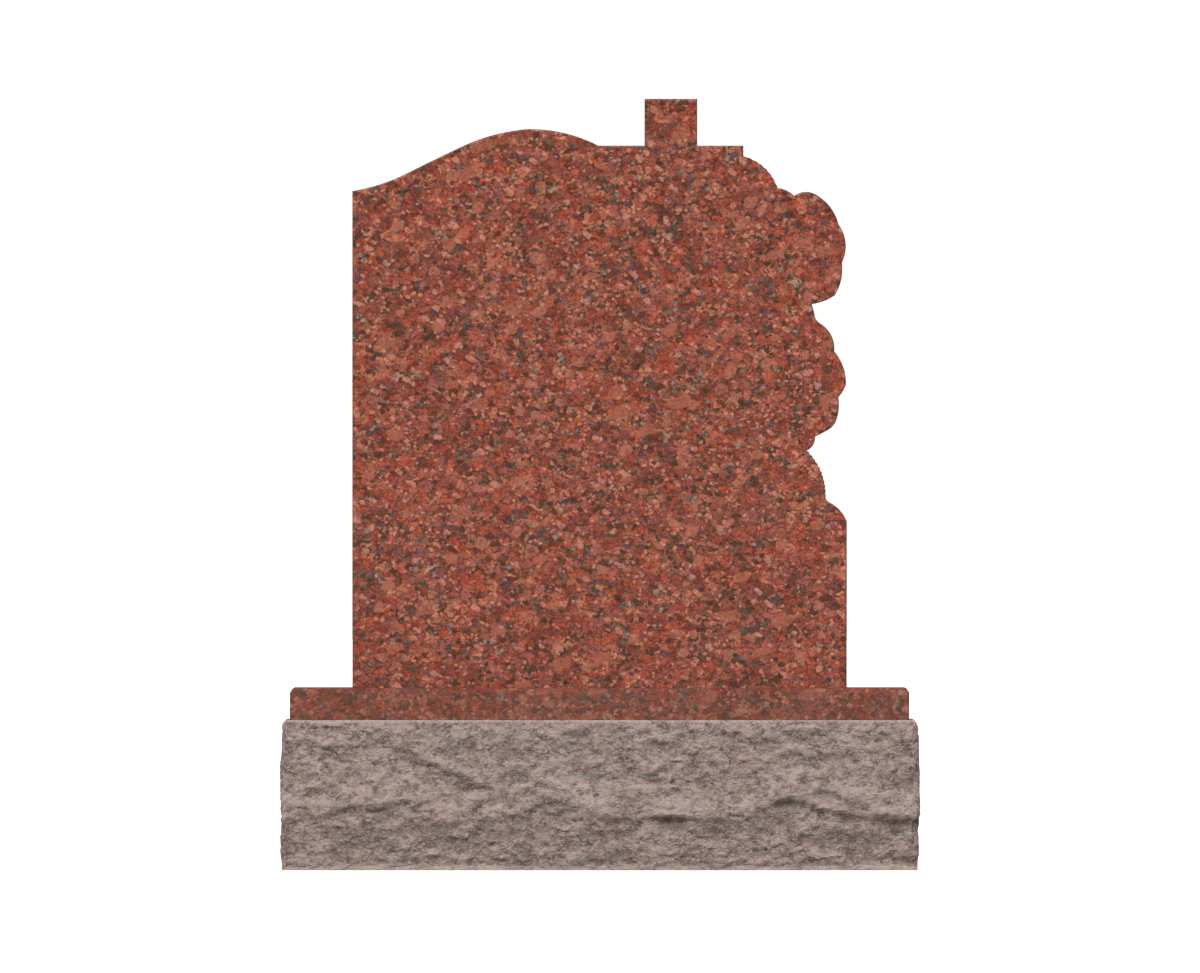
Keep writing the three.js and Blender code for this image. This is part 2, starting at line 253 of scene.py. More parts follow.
@dataclass(frozen=True)
class RedGranite:
    """A coarse red granite: feldspar of several reds, dark mica gathered in chains, some quartz.

    Sizes are in millimetres, shares are parts of one. A mark is a colour and how much it covers,
    and a range says between which values of a cloud something comes in. Each bend is the size of
    the cloud that bends the crystals and how far it reaches.
    """

    lie: tuple[float, float, float] = (0.93, 1.0, 1.08)
    bends: tuple[tuple[float, float], ...] = ((12.0, 6.8), (4.0, 2.8))
    feldspar_size: float = 13.0
    small_feldspar_size: float = 8.2
    small_feldspar_tones: tuple[float, float] = (0.8, 1.24)
    mica_size: float = 6.4
    mica_cluster: float = 17.0
    mica_range: tuple[float, float] = (0.38, 0.64)
    mica_rarity: tuple[float, float] = (0.98, 0.5)
    mica_share: float = 0.87
    seam: Mark = (colour(74, 46, 28), 0.8)
    seam_width: float = 0.12
    seam_cluster: float = 11.0
    seam_range: tuple[float, float] = (0.36, 0.56)
    speck_size: float = 3.8
    speck_range: tuple[float, float] = (0.26, 0.74)
    speck_tones: tuple[float, float] = (0.66, 1.44)
    speck_cast: float = 0.13
    # Painted highlight: the pale colour that a few specks take, and how rare they are.
    painted_glint: Mark = (colour(228, 170, 144), 0.44)
    painted_glint_rarity: float = 0.962
    phenocryst_spacing: float = 52.0
    phenocryst_shape: tuple[float, float, float] = (1.0, 0.75, 0.58)
    phenocryst_squareness: float = 5.0
    mottle_size: float = 4.5
    mottle_least: float = 0.28
    middle: Colour = colour(137, 78, 63)
    balance: Colour = (1.0, 0.91, 0.835, 1.0)

    def group(self) -> bpy.types.NodeTree:
        """Build the crystal pattern, or return it if it is there.

        Every crystal is a cell of a bent cell pattern with a random number of its own, which picks
        its colour. Mica fills the cells whose number is high where a cloud lets it gather, and all
        crystals lie slightly flattened in the stone's bed.

        Returns:
            The node group, with its colour and its mica mask.
        """
        name = "coarse_red_granite"
        if name in bpy.data.node_groups:
            return bpy.data.node_groups[name]
        outputs = {"Color": "NodeSocketColor", "Mica": "NodeSocketFloat"}
        wire, entry, leave = new_group(name, {"Contrast": 1.0}, outputs)
        place = wire.place(self.lie)
        for size, reach in self.bends:
            place = wire.bend(place, wire.clouds(place, size), reach)
        stone, mica = self._mica(wire, place, self._feldspar(wire, place))
        for step in (self._seams, self._specks, self._phenocrysts):
            stone = step(wire, place, stone)
        stone = wire.blend(entry.outputs["Contrast"], self.middle, stone)
        stone = wire.blend(1.0, stone, self.balance, "MULTIPLY")
        wire.hand_on(leave, Color=stone, Mica=mica)
        return wire.tree

    def _feldspar(self, wire: Wiring, place: Socket) -> Socket:
        """Lay the red feldspar: large crystals give the hue, and small ones break it up.

        Args:
            wire: The group's wiring.
            place: The bent place in the stone.

        Returns:
            The feldspar's colour.
        """
        reds = (
            (0.0, colour(128, 66, 54)),
            (0.14, colour(148, 72, 56)),
            (0.32, colour(138, 78, 66)),
            (0.48, colour(160, 80, 60)),
            (0.6, colour(148, 86, 76)),
            (0.74, colour(156, 90, 74)),
            (0.87, colour(166, 102, 82)),
        )
        large = wire.parts(wire.grains(place, self.feldspar_size).outputs["Color"])
        small = wire.parts(wire.grains(place, self.small_feldspar_size).outputs["Color"])
        low, high = self.small_feldspar_tones
        strength = wire.node("MapRange", {0: small[0], 3: low, 4: high}).outputs[0]
        return wire.tone(wire.palette(large[0], reds), strength)

    def _mica(self, wire: Wiring, place: Socket, stone: Socket) -> tuple[Socket, Socket]:
        """Gather dark mica between the feldspars, with grey quartz beside it.

        Args:
            wire: The group's wiring.
            place: The bent place in the stone.
            stone: The colour so far.

        Returns:
            The new colour, and the mask of the mica and quartz.
        """
        darks = (
            (0.0, colour(70, 48, 32)),
            (0.24, colour(92, 54, 38)),
            (0.42, colour(82, 66, 72)),
            (0.6, colour(72, 72, 60)),
            (0.78, colour(106, 90, 82)),
            (0.93, colour(140, 126, 118)),
        )
        pick = wire.parts(wire.grains(place, self.mica_size).outputs["Color"])
        gather = wire.clouds(place, self.mica_cluster).outputs[0]
        rarity = wire.spread(gather, *self.mica_range, *self.mica_rarity)
        mica = wire.math("GREATER_THAN", pick[0], rarity)
        return wire.lay(stone, mica, self.mica_share, wire.palette(pick[1], darks)), mica

    def _seams(self, wire: Wiring, place: Socket, stone: Socket) -> Socket:
        """Darken the seams between the small feldspars, where a cloud lets them show.

        Args:
            wire: The group's wiring.
            place: The bent place in the stone.
            stone: The colour so far.

        Returns:
            The new colour.
        """
        border = wire.grains(place, self.small_feldspar_size, "DISTANCE_TO_EDGE")
        seams = wire.spread(border.outputs["Distance"], 0.0, self.seam_width, 1.0, 0.0)
        kept = wire.spread(wire.clouds(place, self.seam_cluster).outputs[0], *self.seam_range)
        dark, share = self.seam
        return wire.lay(stone, wire.math("MULTIPLY", seams, kept), share, dark)

    def _specks(self, wire: Wiring, place: Socket, stone: Socket) -> Socket:
        """Speckle the stone light and dark, give each speck a cast, and paint a few pale
        highlights.

        Args:
            wire: The group's wiring.
            place: The bent place in the stone.
            stone: The colour so far.

        Returns:
            The new colour.
        """
        grit = wire.clouds(place, self.speck_size, 3.0).outputs[0]
        stone = wire.tone(stone, wire.spread(grit, *self.speck_range, *self.speck_tones))
        speck = wire.grains(place, self.speck_size).outputs["Color"]
        vivid = wire.blend(1.0, speck, (2.0, 2.0, 2.0, 1.0), "MULTIPLY")
        stone = wire.blend(1.0, stone, wire.blend(self.speck_cast, WHITE, vivid), "MULTIPLY")
        # Painted highlight: a few specks painted pale, standing in for crystals catching the light.
        painted_glints = wire.math("GREATER_THAN", wire.parts(speck)[1], self.painted_glint_rarity)
        pale, share = self.painted_glint
        return wire.lay(stone, painted_glints, share, pale)

    def _phenocrysts(self, wire: Wiring, place: Socket, stone: Socket) -> Socket:
        """Set the pale crystals: three kinds, by their lean, size, colour, rarity and reach.

        Args:
            wire: The group's wiring.
            place: The bent place in the stone.
            stone: The colour so far.

        Returns:
            The new colour.
        """
        kinds = (
            (-0.5, 1.0, colour(168, 102, 82), 0.6, 0.3),
            (-0.9, 0.6, colour(178, 112, 92), 0.62, 0.32),
            (0.6, 0.36, colour(200, 140, 122), 0.72, 0.34),
        )
        mottle = wire.clouds(place, self.mottle_size, 3.0).outputs[0]
        mottle = wire.spread(mottle, *MOST_OF_A_CLOUD, self.mottle_least, 1.0)
        for lean, size, shade, rarity, reach in kinds:
            lying = {"Rotation": (lean / 2, lean, lean), "Scale": self.phenocryst_shape}
            turned = wire.node("Mapping", {"Vector": place, **lying}, vector_type="TEXTURE")
            cell = wire.grains(turned.outputs[0], self.phenocryst_spacing * size)
            cell.distance = "MINKOWSKI"
            cell.inputs["Exponent"].default_value = self.phenocryst_squareness
            pick = wire.parts(cell.outputs["Color"])
            width = wire.spread(pick[1], 0.0, 1.0, reach / 3.0, reach)
            inside = wire.math("LESS_THAN", cell.outputs["Distance"], width)
            chosen = wire.math("GREATER_THAN", pick[0], rarity)
            stone = wire.lay(stone, wire.math("MULTIPLY", inside, chosen), mottle, shade)
        return stone


class Worked(Enum):
    """How a granite face was worked, each with the name of its finish."""

    POLISHED = "polished"
    HONED = "honed"
    RUBBED = "rubbed"
    SPLIT = "split"
    SAWN = "sawn"


@dataclass(frozen=True)
class Finish:
    """How a worked face shows the granite: its crystals, the veil over them and its shine.

    The veil is what the surface's own broken or dulled crystals throw over the colour, and haze is
    its share. Grit is how far the marks of splitting show. Relief is in millimetres.
    """

    contrast: float
    haze: float
    veil: Colour
    grit: float
    roughness: float
    relief: float


FINISHES = {
    Worked.POLISHED: Finish(1.0, 0.0, colour(92, 70, 60), 0.0, 0.12, 0.02),
    Worked.HONED: Finish(0.95, 0.36, colour(80, 52, 34), 0.0, 0.34, 0.05),
    Worked.RUBBED: Finish(1.0, 0.5, colour(95, 27, 4), 0.0, 0.3, 0.04),
    Worked.SPLIT: Finish(0.75, 0.84, colour(162, 146, 139), 1.0, 0.78, 1.2),
    Worked.SAWN: Finish(0.75, 0.55, colour(160, 140, 132), 0.15, 0.62, 0.12),
}
# The meshes' own attributes, and how the clouds on broken stone lie.
SECOND_FINISH = "second_finish"
HOLLOW = "hollow"
BROKEN_LIE = (0.7, 0.7, 1.2)


@dataclass(frozen=True)
class WorkedSurface:
    """How a worked face carries the crystals: the veil over them, its shine and its relief.

    Sizes are in millimetres, shares are parts of one.
    """

    chip_size: float = 6.5
    chip_share: float = 1.5
    tuft_size: float = 2.8
    tuft_share: float = 1.3
    veil_range: tuple[float, float] = (0.84, 1.12)
    smudge_size: float = 60.0
    smudge_range: tuple[float, float] = (0.85, 1.2)
    mica_dullness: float = 0.06

    def group(self) -> bpy.types.NodeTree:
        """Build the group that shows the granite as it is worked, or return it if it is there.

        The veil lies unevenly over the colour, as broken crystals turn their faces differently.
        Mica takes a duller polish than feldspar, and the relief is clouds of two sizes.

        Returns:
            The node group, with its colour, its roughness, its height in millimetres, the two
            clouds of its relief and its mica mask.
        """
        name = "worked_granite"
        if name in bpy.data.node_groups:
            return bpy.data.node_groups[name]
        inputs = {"Contrast": 1.0, "Haze": 0.0, "Roughness": 0.12, "Relief": 0.02}
        numbers = ("Roughness", "Height", "Chips", "Tufts", "Mica")
        outputs = {"Color": "NodeSocketColor", **dict.fromkeys(numbers, "NodeSocketFloat")}
        wire, entry, leave = new_group(name, inputs, outputs, ("Veil",))
        contrast = {"Contrast": entry.outputs["Contrast"]}
        crystals = wire.node("Group", contrast, node_tree=RedGranite().group())
        flat, mica = wire.place(BROKEN_LIE), crystals.outputs["Mica"]
        chips = wire.clouds(flat, self.chip_size, 4.0).outputs[0]
        tufts = wire.clouds(flat, self.tuft_size, 3.0).outputs[0]
        uneven = wire.spread(chips, *MOST_OF_A_CLOUD, *self.veil_range)
        haze = wire.math("MULTIPLY", entry.outputs["Haze"], uneven, clamp=True)
        shown = wire.blend(haze, crystals.outputs["Color"], entry.outputs["Veil"])
        smudge = wire.clouds(wire.place(), self.smudge_size, 3.0).outputs[0]
        smudge = wire.spread(smudge, *MOST_OF_A_CLOUD, *self.smudge_range)
        rough = wire.math("MULTIPLY", entry.outputs["Roughness"], smudge)
        rough = wire.math("ADD", rough, wire.math("MULTIPLY", mica, self.mica_dullness))
        coarse = wire.math("MULTIPLY", chips, self.chip_share)
        lumps = wire.math("ADD", coarse, wire.math("MULTIPLY", tufts, self.tuft_share))
        height = wire.math("MULTIPLY", lumps, entry.outputs["Relief"])
        wire.hand_on(leave, Color=shown, Roughness=rough, Height=height)
        wire.hand_on(leave, Chips=chips, Tufts=tufts, Mica=mica)
        return wire.tree


@dataclass(frozen=True)
class SplitMarks:
    """What marks a split face: crushing with painted sheen, tints, painted shadow, cracks,
    bruising.

    A mark is a colour and the most that it covers, and a range says between which values of its
    cloud, or of the hollows, it comes in. Sizes are in millimetres.
    """

    # Painted sheen mixed with crushing: pale grains where the raised tufts of the relief stand up.
    crushed_and_sheen: Mark = (colour(206, 188, 180), 0.26)
    crushed_and_sheen_range: tuple[float, float] = (0.34, 0.72)
    tints: tuple[Colour, ...] = (colour(122, 134, 142), colour(172, 136, 120))
    tint_size: float = 13.0
    tint_range: tuple[float, float] = (0.52, 0.7)
    tint_share: float = 0.34
    shadow: Mark = (colour(84, 71, 63), 0.62)
    shadow_size: float = 34.0
    shadow_range: tuple[float, float] = (-0.38, -0.04)
    shadow_in_hollows: float = 0.18
    shadow_by_cloud: float = 0.6
    shadow_by_relief: tuple[tuple[str, float], ...] = (("Tufts", 0.72), ("Chips", 0.36))
    crack: Mark = (colour(76, 60, 52), 0.74)
    crack_spacing: float = 14.0
    crack_width: float = 0.13
    crack_bend: tuple[float, float] = (7.0, 24.0)
    crack_cluster: float = 15.0
    crack_range: tuple[float, float] = (0.46, 0.6)
    crack_depth: float = 0.8
    mica_depth: float = 0.3
    # Pale where the face stands proud: bruised crystals, and painted highlight on the rims and
    # ledge brow.
    bruise_and_highlight: Mark = (colour(206, 184, 174), 0.33)
    bruise_and_highlight_range: tuple[float, float] = (-0.8, -0.05)

    def group(self) -> bpy.types.NodeTree:
        """Build the group that marks the granite where it is split, or return it if it is there.

        Painted shadow gathers where the clouds of the relief run low, most in the hollows, and a
        painted sheen pales the raised tufts, partly standing for crushing. Cracks are the borders
        of a bent cell pattern, kept where a cloud lets them. Edges that stand proud are painted
        pale, partly as bruising and partly as painted highlight where the face turns up to the
        light. Grit is how far all of it shows.

        Returns:
            The node group, with its colour and its height in millimetres.
        """
        name = "split_marks"
        if name in bpy.data.node_groups:
            return bpy.data.node_groups[name]
        numbers = ("Grit", "Hollow", "Relief", "Height", "Chips", "Tufts", "Mica")
        outputs = {"Color": "NodeSocketColor", "Height": "NodeSocketFloat"}
        wire, entry, leave = new_group(name, dict.fromkeys(numbers, 0.0), outputs, ("Color",))
        given, flat, grit = entry.outputs, wire.place(BROKEN_LIE), entry.outputs["Grit"]
        # Painted sheen: the raised tufts are painted pale, partly as crushed crystal.
        pale, most = self.crushed_and_sheen
        mask = wire.spread(given["Tufts"], *self.crushed_and_sheen_range, 0.0, most)
        shown = wire.lay(given["Color"], mask, grit, pale)
        patches = wire.parts(wire.clouds(flat, self.tint_size).outputs["Color"])
        for patch, tint in zip(patches, self.tints):
            mask = wire.spread(patch, *self.tint_range, 0.0, self.tint_share)
            shown = wire.lay(shown, mask, grit, tint)
        dark, most = self.shadow
        mask = wire.spread(self._depth(wire, flat, given), *self.shadow_range, 0.0, most)
        shown = wire.lay(shown, mask, grit, dark)
        dark, most = self.crack
        crack = self._cracks(wire, flat, most)
        shown = wire.lay(shown, crack, grit, dark)
        # Painted highlight mixed with bruising: pale where the hollow attribute falls below zero.
        pale, most = self.bruise_and_highlight
        mask = wire.spread(given["Hollow"], *self.bruise_and_highlight_range, most, 0.0)
        shown = wire.lay(shown, mask, grit, pale)
        sunk = wire.math("MULTIPLY", crack, self.crack_depth)
        sunk = wire.math("ADD", sunk, wire.math("MULTIPLY", given["Mica"], self.mica_depth))
        sunk = wire.math("MULTIPLY", sunk, given["Relief"])
        wire.hand_on(leave, Color=shown, Height=wire.math("SUBTRACT", given["Height"], sunk))
        return wire.tree

    def _depth(self, wire: Wiring, flat: Socket, given: bpy.types.NodeOutputs) -> Socket:
        """Say how deep in shadow a place lies: by its hollow and a broad cloud, less its relief.

        Args:
            wire: The group's wiring.
            flat: The place, flattened as broken stone lies.
            given: What the group is given.

        Returns:
            The depth.
        """
        depth = wire.math("MULTIPLY", given["Hollow"], self.shadow_in_hollows)
        depth = wire.math("ADD", depth, wire.clouds(flat, self.shadow_size, 3.0).outputs[0])
        depth = wire.math("MULTIPLY", depth, self.shadow_by_cloud)
        for cloud, share in self.shadow_by_relief:
            depth = wire.math("SUBTRACT", depth, wire.math("MULTIPLY", given[cloud], share))
        return depth

    def _cracks(self, wire: Wiring, flat: Socket, most: float) -> Socket:
        """Run cracks along the borders of a bent cell pattern, where a cloud lets them show.

        Args:
            wire: The group's wiring.
            flat: The place, flattened as broken stone lies.
            most: How far a crack shows at most.

        Returns:
            How far the cracks show.
        """
        size, reach = self.crack_bend
        bent = wire.bend(flat, wire.clouds(flat, size, 3.0), reach)
        border = wire.grains(bent, self.crack_spacing, "DISTANCE_TO_EDGE")
        cracks = wire.spread(border.outputs["Distance"], 0.0, self.crack_width, most, 0.0)
        kept = wire.spread(wire.clouds(flat, self.crack_cluster).outputs[0], *self.crack_range)
        return wire.math("MULTIPLY", cracks, kept)


@dataclass(frozen=True)
class WorkedGranite:
    """A granite material with two finishes, the second where the mesh's own attribute says so."""

    name: str
    first: Worked
    second: Worked

    def material(self) -> bpy.types.Material:
        """Build the material.

        Returns:
            The material, its crystals from the shared granite group.
        """
        made = bpy.data.materials.new(self.name)
        made.use_nodes = True
        made.node_tree.nodes.clear()
        wire = Wiring(made.node_tree)
        share = wire.node("Attribute", attribute_name=SECOND_FINISH).outputs["Fac"]
        first, second = FINISHES[self.first], FINISHES[self.second]

        def between(part: str) -> Socket:
            """Carry one value of the finishes from the first to the second."""
            ends = {3: getattr(first, part), 4: getattr(second, part)}
            return wire.node("MapRange", {0: share, **ends}).outputs[0]

        granite = wire.node("Group", node_tree=WorkedSurface().group())
        relief, veil = between("relief"), wire.blend(share, first.veil, second.veil)
        carried = {label: between(label.lower()) for label in ("Contrast", "Haze", "Roughness")}
        wire.hand_on(granite, **carried, Relief=relief, Veil=veil)
        shown = granite
        if Worked.SPLIT in (self.first, self.second):
            shown = wire.node("Group", node_tree=SplitMarks().group())
            hollow = wire.node("Attribute", attribute_name=HOLLOW).outputs["Fac"]
            handed = ("Color", "Height", "Chips", "Tufts", "Mica")
            wire.hand_on(shown, **{label: granite.outputs[label] for label in handed})
            wire.hand_on(shown, Grit=between("grit"), Relief=relief, Hollow=hollow)
        relief = {"Height": shown.outputs["Height"], "Distance": MM, "Strength": 1.0}
        shader = wire.node(
            "BsdfPrincipled",
            {
                "Base Color": shown.outputs["Color"],
                "Roughness": granite.outputs["Roughness"],
                "Normal": wire.node("Bump", relief).outputs[0],
            },
        )
        shader.inputs["IOR"].default_value = 1.5
        wire.node("OutputMaterial", {"Surface": shader.outputs[0]})
        return made


def finished_piece(
    mesh: bpy.types.Mesh, name: str, node: str, material: bpy.types.Material
) -> bpy.types.Object:
    """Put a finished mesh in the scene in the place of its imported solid.

    Args:
        mesh: The finished mesh, in the frame's own place.
        name: The piece's name.
        node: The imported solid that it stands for.
        material: Its granite.

    Returns:
        The piece, riding on the root body.
    """
    mesh.materials.clear()
    mesh.materials.append(material)
    piece = bpy.data.objects.new(name, mesh)
    bpy.context.scene.collection.objects.link(piece)
    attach(piece, "root")
    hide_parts(node)
    return piece


def flat_shaded(piece: bpy.types.Object) -> bpy.types.Object:
    """Let the large faces of a piece stay flat beside their narrow arrises.

    Args:
        piece: The piece.

    Returns:
        The same piece.
    """
    weighted = piece.modifiers.new("flat_faces", "WEIGHTED_NORMAL")
    weighted.mode, weighted.weight, weighted.keep_sharp = "FACE_AREA", 100, True
    return piece


# How near points are joined, and how many degrees apart two faces count as one.
JOINED_WITHIN = 0.001 * MM
FLAT_WITHIN = 0.3


def solid_copy(node: str) -> bmesh.types.BMesh:
    """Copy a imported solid, join its loose triangles and make each flat face one face.

    Args:
        node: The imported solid's name.

    Returns:
        The copy, in the frame's own place.
    """
    source = next(item for item in bpy.data.objects if item.get("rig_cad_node") == node)
    copy = bmesh.new()
    copy.from_mesh(source.data)
    bmesh.ops.remove_doubles(copy, verts=copy.verts, dist=JOINED_WITHIN)
    bmesh.ops.dissolve_limit(
        copy,
        angle_limit=math.radians(FLAT_WITHIN),
        verts=copy.verts,
        edges=copy.edges,
        delimit={"NORMAL"},
    )
    LOG.info("%s: %d faces after joining", node, len(copy.faces))
    return copy


@dataclass(frozen=True)
class Easing:
    """How the edges of a piece are eased: their width and facets, and the turn that needs it."""

    width: float
    sharper_than: float
    steps: int = 2

    def ease(self, shape: bmesh.types.BMesh) -> None:
        """Round every edge of a shape that turns by more than the limit.

        Args:
            shape: The shape.
        """
        limit = math.radians(self.sharper_than)
        bmesh.ops.bevel(
            shape,
            geom=[edge for edge in shape.edges if edge.calc_face_angle(0.0) > limit],
            offset=self.width,
            offset_type="OFFSET",
            segments=self.steps,
            profile=0.5,
            affect="EDGES",
            clamp_overlap=True,
        )


def finish_mesh(
    shape: bmesh.types.BMesh, name: str, crease: float, second: np.ndarray
) -> bpy.types.Mesh:
    """Turn a worked shape into a smooth mesh with sharp creases.

    Args:
        shape: The shape, which is freed.
        name: The mesh's name.
        crease: The turn, in degrees, from which an edge stays sharp.
        second: The share of the second finish on each face.

    Returns:
        The mesh.
    """
    mesh = bpy.data.meshes.new(name)
    shape.to_mesh(mesh)
    shape.free()
    mesh.shade_smooth()
    mesh.set_sharp_from_angle(angle=math.radians(crease))
    write_attribute(mesh, SECOND_FINISH, second, "FACE")
    return mesh


def write_attribute(mesh: bpy.types.Mesh, name: str, values: np.ndarray, domain: str) -> None:
    """Write an attribute of a mesh, with a value for each face or point."""
    attribute = mesh.attributes.new(name, "FLOAT", domain)
    attribute.data.foreach_set("value", values.astype(np.float32))


def face_normals(shape: bmesh.types.BMesh) -> np.ndarray:
    """Give the way that each face of a shape looks, one row per face."""
    shape.normal_update()
    return np.array([face.normal for face in shape.faces])


@dataclass
class Tablet:
    """The shaped upright slab, polished on its two faces and honed around its edge."""

    arrises: Easing = Easing(0.35 * MM, 30.0)
    crease: float = 28.0
    facing: float = 0.95

    def build(self) -> bpy.types.Object:
        """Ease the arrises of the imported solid's copy and dress it.

        Returns:
            The finished piece.
        """
        shape = solid_copy("tablet")
        self.arrises.ease(shape)
        honed = np.abs(face_normals(shape)[:, 1]) < self.facing
        mesh = finish_mesh(shape, "polished_tablet", self.crease, honed)
        granite = WorkedGranite("polished_red_granite", Worked.POLISHED, Worked.HONED).material()
        piece = finished_piece(mesh, "polished_tablet", "tablet", granite)
        return flat_shaded(piece)


@dataclass
class PlinthSlab:
    """The thin slab under the tablet, honed, with a rubbed arris along its upper edges."""

    edges: Easing = Easing(0.3 * MM, 40.0)
    crease: float = 30.0
    arris_rise: tuple[float, float] = (0.3, 0.9)

    def build(self) -> bpy.types.Object:
        """Ease the slab's edges and dress it.

        Returns:
            The finished piece.
        """
        shape = solid_copy("plinth_slab")
        self.edges.ease(shape)
        rise = face_normals(shape)[:, 2]
        arris = (rise > self.arris_rise[0]) & (rise < self.arris_rise[1])
        mesh = finish_mesh(shape, "honed_plinth_slab", self.crease, arris)
        granite = WorkedGranite("honed_red_granite", Worked.HONED, Worked.RUBBED).material()
        piece = finished_piece(mesh, "honed_plinth_slab", "plinth_slab", granite)
        return flat_shaded(piece)


@dataclass(frozen=True)
class Swelling:
    """A broad swelling of the split faces, in millimetres."""

    up: float
    half_height: float
    on_ends: float
    on_long_faces: float


@dataclass(frozen=True)
class Break:
    """A bowl in a long face where stone has broken out, in millimetres."""

    across: float
    up: float
    half_width: float
    half_height: float
    depth: float


@dataclass(frozen=True)
class Lumps:
    """One octave of rock relief: lumps around the block, their height and how they stand out."""

    around: int
    height: float
    depth: float


@dataclass(frozen=True)
class Facets:
    """Broken facets: their count around the block, their height, their step and their lean."""

    around: int
    height: float
    step: float
    lean: float


class Draw(IntEnum):
    """The first of the sets of random numbers that each kind of relief draws on."""

    LUMPS = 0
    GRIT = 10
    CHIP_BEND = 20
    CHIPS = 30
    STEPS = 60


# How scatter mixes a place's numbers.
NUMBERS = 2**32
BY_COLUMN, BY_ROW, BY_SUM = (np.uint32(factor) for factor in (374761393, 668265263, 1274126177))
BY_DRAW = 974634777
FIRST_SHIFT, LAST_SHIFT = np.uint32(13), np.uint32(16)
# The rows of facets are counted from here, so that none is below zero.
ABOVE_ZERO = 8
# The part of a small ledge's height over which it recedes.
RECEDING = 0.75


def eased(value: np.ndarray, low: float, high: float) -> np.ndarray:
    """Carry values from low..high to 0..1, easing in and out: t squared times 3 less 2t."""
    t = np.clip((value - low) / (high - low), 0.0, 1.0)
    return t * t * (3.0 - 2.0 * t)


def scatter(column: np.ndarray, row: np.ndarray, draw: int) -> np.ndarray:
    """Give a repeatable random number from 0 to 1 for each whole-number place.

    The place and the draw are each multiplied by a large odd number and added up, and the sum is
    stirred by shifting it onto itself and multiplying once more.

    Args:
        column: Each place's column.
        row: Its row.
        draw: Which set of random numbers to use.

    Returns:
        The numbers.
    """
    mix = column.astype(np.uint32) * BY_COLUMN + row.astype(np.uint32) * BY_ROW
    mix = mix + np.uint32(draw * BY_DRAW % NUMBERS)
    mix = (mix ^ (mix >> FIRST_SHIFT)) * BY_SUM
    mix = mix ^ (mix >> LAST_SHIFT)
    return mix / NUMBERS


def lumpiness(around: np.ndarray, up: np.ndarray, lumps: Lumps, draw: int) -> np.ndarray:
    """Smooth lumps from -1 to 1 that close on themselves around the block.

    Random numbers stand at the corners of a grid, and between them each place takes its share of
    its four corners, eased by 6t^5 - 15t^4 + 10t^3.

    Args:
        around: How far around the block each place is, from 0 to 1.
        up: How high up it is, in millimetres.
        lumps: The octave.
        draw: Which set of random numbers to use.

    Returns:
        The lumps' height at each place.
    """
    across, rise = around * lumps.around, up / lumps.height
    column, row = np.floor(across), np.floor(rise)

    def ease(t: np.ndarray) -> np.ndarray:
        """Ease a share in and out."""
        return t * t * t * (t * (6.0 * t - 15.0) + 10.0)

    def corner(right: int, above: int) -> np.ndarray:
        """Look up the random number at a corner."""
        return scatter((column + right) % lumps.around, row + above, draw)

    beside, above = ease(across - column), ease(rise - row)
    lower = corner(0, 0) * (1.0 - beside) + corner(1, 0) * beside
    upper = corner(0, 1) * (1.0 - beside) + corner(1, 1) * beside
    return 2.0 * (lower * (1.0 - above) + upper * above) - 1.0


def octaves(
    around: np.ndarray, up: np.ndarray, lumps: Sequence[Lumps], draw: int
) -> np.ndarray:
    """Add up octaves of lumps, each with its own depth and set of random numbers.

    Args:
        around: How far around the block each place is, from 0 to 1.
        up: How high up it is, in millimetres.
        lumps: The octaves.
        draw: The first of their sets of random numbers.

    Returns:
        How far they stand out at each place, in millimetres where their depths are.
    """
    total = np.zeros_like(up)
    for more, item in enumerate(lumps):
        total += item.depth * lumpiness(around, up, item, draw + more)
    return total


def broken(around: np.ndarray, up: np.ndarray, facets: Facets, draw: int) -> np.ndarray:
    """Broken facets that close on themselves around the block.

    Each place belongs to the nearest of the seeds scattered one to a grid cell. A seed's facet is
    a plane: its own step, plus its own lean times the distance from it.

    Args:
        around: How far around the block each place is, from 0 to 1.
        up: How high up it is, in millimetres.
        facets: The octave of facets.
        draw: Which set of random numbers to use.

    Returns:
        The facets' height at each place, in millimetres.
    """
    across, rise = around * facets.around, up / facets.height
    column, row = np.floor(across), np.floor(rise)
    nearest = np.full(across.shape, np.inf)
    height = np.zeros(across.shape)
    for right in (-1, 0, 1):
        for above in (-1, 0, 1):
            cell = (column + right) % facets.around, row + above + ABOVE_ZERO
            beside = across - (column + right) - scatter(*cell, draw)
            over = rise - (row + above) - scatter(*cell, draw + 1)
            away = beside**2 + over**2
            step, slope, fall = (2.0 * scatter(*cell, draw + more) - 1.0 for more in (2, 3, 4))
            here = facets.step * step + facets.lean * (slope * beside + fall * over)
            height = np.where(away < nearest, here, height)
            nearest = np.minimum(away, nearest)
    return height


def stepped(around: np.ndarray, up: np.ndarray, steps: Lumps, draw: int) -> np.ndarray:
    """Small broken ledges that close on themselves around the block.

    A ledge recedes slowly on its way up and then steps out quickly to the next: over three
    quarters of each period it falls evenly from one to zero, and over the last it rises evenly to
    one again. Two octaves of lumps bend the ledges, and a third lets them die away.

    Args:
        around: How far around the block each place is, from 0 to 1.
        up: How high up it is, in millimetres.
        steps: The lumps that bend the ledges, the ledges' spacing and their depth.
        draw: Which set of random numbers to use.

    Returns:
        The ledges' height at each place, in millimetres.
    """
    wide = Lumps(steps.around, steps.height * 2.1, 1.5)
    small = Lumps(steps.around * 3, steps.height * 0.8, 0.5)
    fading = Lumps(steps.around * 2, steps.height * 1.5, 0.6)
    phase = up / steps.height + octaves(around, up, (wide, small), draw)
    t = phase - np.floor(phase)
    out = np.where(t < RECEDING, 1.0 - t / RECEDING, (t - RECEDING) / (1.0 - RECEDING)) - 0.5
    strength = eased(lumpiness(around, up, fading, draw + 2), -fading.depth, fading.depth)
    return steps.depth * strength * out


